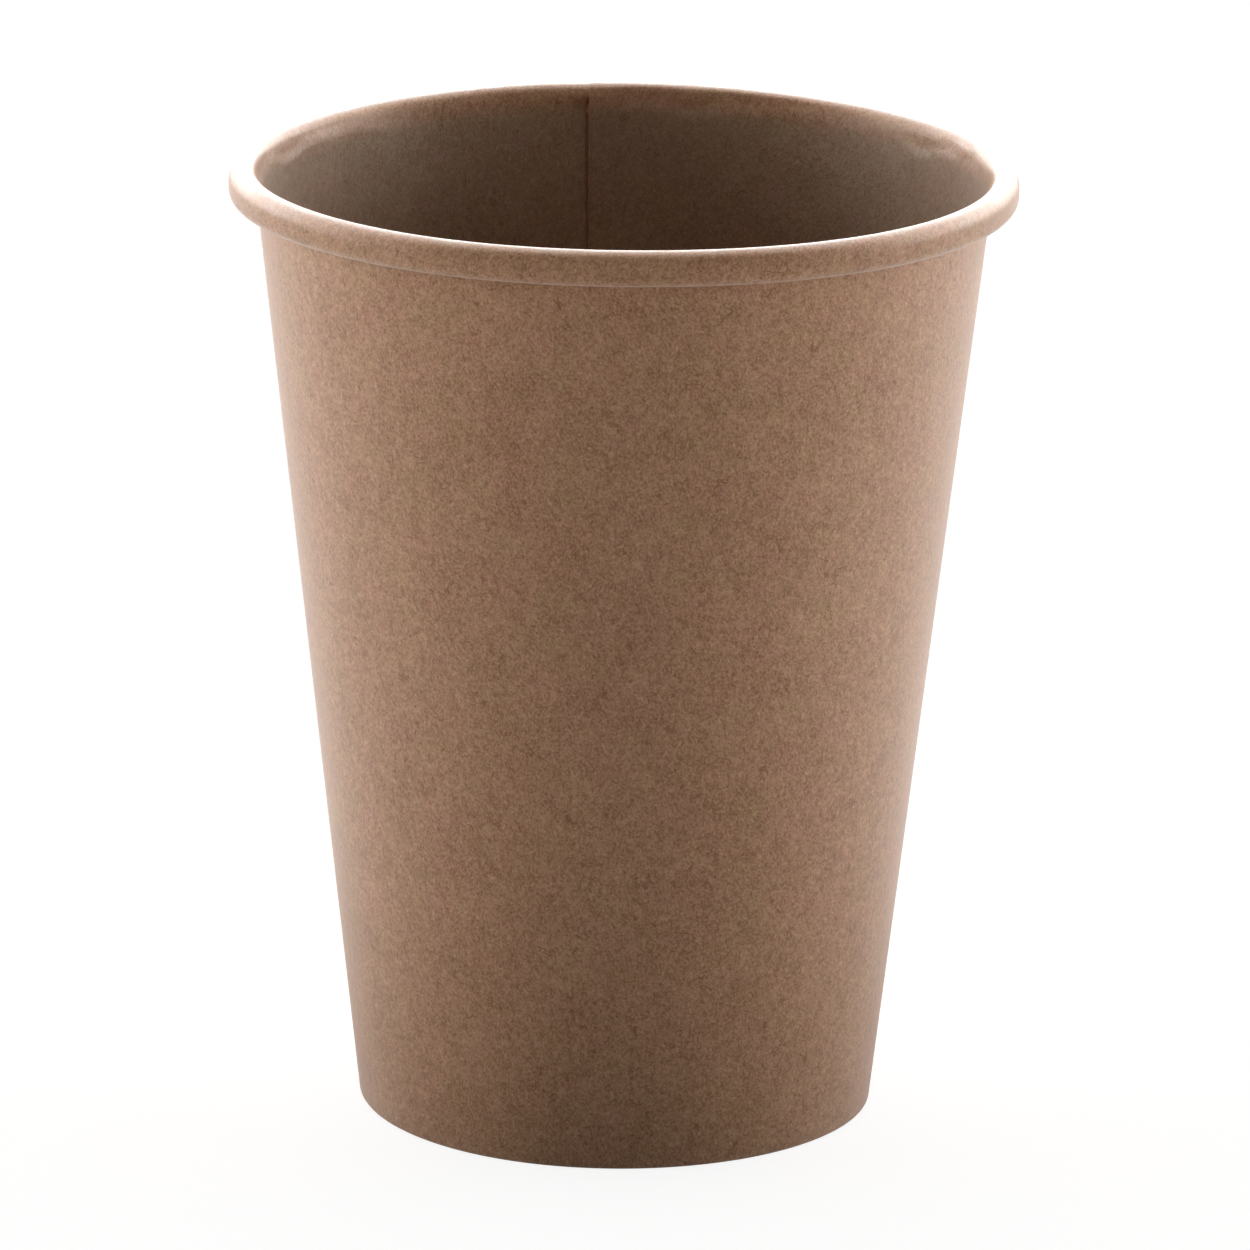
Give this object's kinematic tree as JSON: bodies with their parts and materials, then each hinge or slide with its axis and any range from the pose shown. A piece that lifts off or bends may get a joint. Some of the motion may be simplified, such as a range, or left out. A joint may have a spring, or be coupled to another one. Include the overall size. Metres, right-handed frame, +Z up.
{
  "type": "paper coffee cup",
  "caption": "Single-wall paper cup for a hot drink: conical board wall with a lapped side seam, rolled rim, recessed base disc and turned-in foot, open at the top.",
  "frame": {"origin": "centre of the ring that the cup stands on, at floor level", "axes": "+Z up along the cup's axis, +Y away from the viewer towards the side seam, +X to the viewer's right"},
  "size_m": [0.09, 0.09, 0.11],
  "materials": {
    "kraft_board": "matte",
    "kraft_base": "matte"
  },
  "bodies": {
    "root": {"sidewall": "kraft_board", "base_disc": "kraft_base"}
  },
  "joints": []
}
